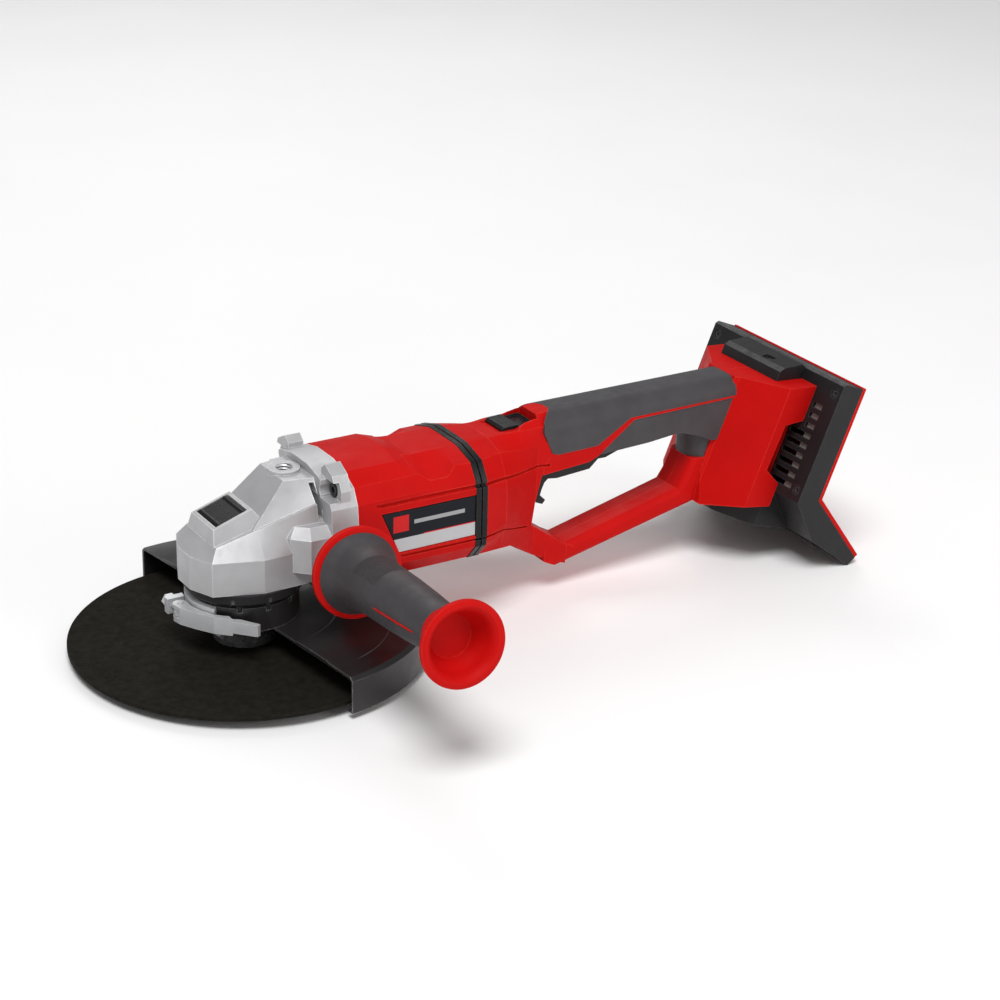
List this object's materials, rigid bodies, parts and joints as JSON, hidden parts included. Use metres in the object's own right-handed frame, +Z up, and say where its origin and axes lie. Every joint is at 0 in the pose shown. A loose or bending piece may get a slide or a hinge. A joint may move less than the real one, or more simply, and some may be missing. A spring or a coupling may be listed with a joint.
{
  "type": "angle grinder",
  "caption": "Battery angle grinder for 230 mm discs: cast gear head, adjustable guard, side handle, D-shaped swivel rear handle with trigger, and a leaning two-pack battery base.",
  "frame": {"origin": "where the spindle axis crosses the mid-plane of the cutting disc", "axes": "+Z up along the spindle away from the disc's free side, +X to the rear along the body, -Y to the side with the side handle"},
  "size_m": [0.5673, 0.3477, 0.1436],
  "materials": {
    "cast_aluminium": "fine sand-cast, satin",
    "black_plastic": "satin black moulding",
    "red_plastic": "satin red moulding",
    "soft_grip": "soft-touch dark grey",
    "zinc_steel": "bright zinc plate",
    "black_steel": "black enamel",
    "ground_steel": "ground steel",
    "abrasive": "resin-bonded abrasive",
    "motor_iron": "stacked laminations",
    "fan_plastic": "moulded",
    "circuit": "green board and black parts",
    "lead_sleeve": "insulated lead"
  },
  "bodies": {
    "head": {"gear_housing": "cast_aluminium", "bearing_flange": "black_plastic", "flange_screws": "black_steel", "housing_screws": "black_steel", "lower_bearing": "ground_steel", "upper_bearing": "ground_steel", "front_motor_bearing": "ground_steel", "rear_motor_bearing": "ground_steel", "motor_housing": "red_plastic", "label_plate": "black_plastic", "bearing_plate": "cast_aluminium", "stator": "motor_iron", "front_ring": "black_plastic", "swivel_tube": "black_plastic", "side_handle_core": "red_plastic", "side_handle_grip": "soft_grip", "side_handle_stud": "ground_steel", "lock_spring": "ground_steel"},
    "spindle": {"spindle": "ground_steel", "bevel_gear": "ground_steel", "inner_flange": "black_steel", "cutting_disc": "abrasive", "flange_nut": "black_steel"},
    "rotor": {"rotor_shaft": "ground_steel", "pinion": "ground_steel", "rotor_core": "motor_iron", "fan": "fan_plastic"},
    "spindle_lock": {"lock_button": "black_plastic", "lock_pin": "ground_steel"},
    "guard": {"guard_shell": "black_steel", "guard_collar": "black_steel", "clamp_bracket": "zinc_steel", "clamp_lug": "zinc_steel", "clamp_adjuster": "zinc_steel", "lever_pin": "zinc_steel"},
    "clamp_lever": {"clamp_lever": "zinc_steel"},
    "rear_handle": {"rear_ring": "black_plastic", "handle_collar": "red_plastic", "handle_left_shell": "red_plastic", "handle_right_shell": "red_plastic", "upper_grip": "soft_grip", "lower_grip": "soft_grip", "trigger_pin": "zinc_steel", "trigger_spring": "ground_steel", "switch_module": "black_plastic", "controller_board": "circuit", "battery_leads": "lead_sleeve", "handle_screws": "black_steel", "battery_base": "black_plastic", "battery_plate": "red_plastic", "battery_rails": "zinc_steel", "terminal_blocks": "black_plastic", "base_cap": "black_plastic", "base_screws": "black_steel"},
    "trigger": {"trigger": "black_plastic"},
    "lock_slider": {"lock_slider": "black_plastic"}
  },
  "joints": [
    {"name": "spindle_spin", "type": "hinge", "parent": "head", "child": "spindle", "pos_m": [0, 0, 0], "axis": [0, 0, 1], "continuous": true},
    {"name": "rotor_spin", "type": "hinge", "parent": "head", "child": "rotor", "pos_m": [0, 0, 0.074], "axis": [1, 0, 0], "continuous": true},
    {"name": "lock_button_press", "type": "slide", "parent": "head", "child": "spindle_lock", "axis": [0, 0, -1], "range_m": [0, 0.003], "stiffness_N_per_m": 800, "springref_m": -0.003, "deforming": ["lock_spring"]},
    {"name": "guard_turn", "type": "hinge", "parent": "head", "child": "guard", "pos_m": [0, 0, 0], "axis": [0, 0, 1], "range_deg": [-90, 90]},
    {"name": "clamp_lever_swing", "type": "hinge", "parent": "guard", "child": "clamp_lever", "pos_m": [-0.044, 0.0025, 0.027], "axis": [0, 0, -1], "range_deg": [0, 100]},
    {"name": "rear_handle_swivel", "type": "hinge", "parent": "head", "child": "rear_handle", "pos_m": [0.152, 0, 0.074], "axis": [1, 0, 0], "range_deg": [-90, 90]},
    {"name": "trigger_squeeze", "type": "hinge", "parent": "rear_handle", "child": "trigger", "pos_m": [0.296, 0, 0.088], "axis": [0, 1, 0], "range_deg": [0, 4], "stiffness_Nm_per_rad": 4, "springref_deg": -2.86, "deforming": ["trigger_spring"]},
    {"name": "lock_slider_push", "type": "slide", "parent": "rear_handle", "child": "lock_slider", "axis": [-1, 0, 0], "range_m": [0, 0.004]}
  ],
  "couplings": [
    {"joint": "rotor_spin", "follows": "spindle_spin", "ratio": 4}
  ]
}
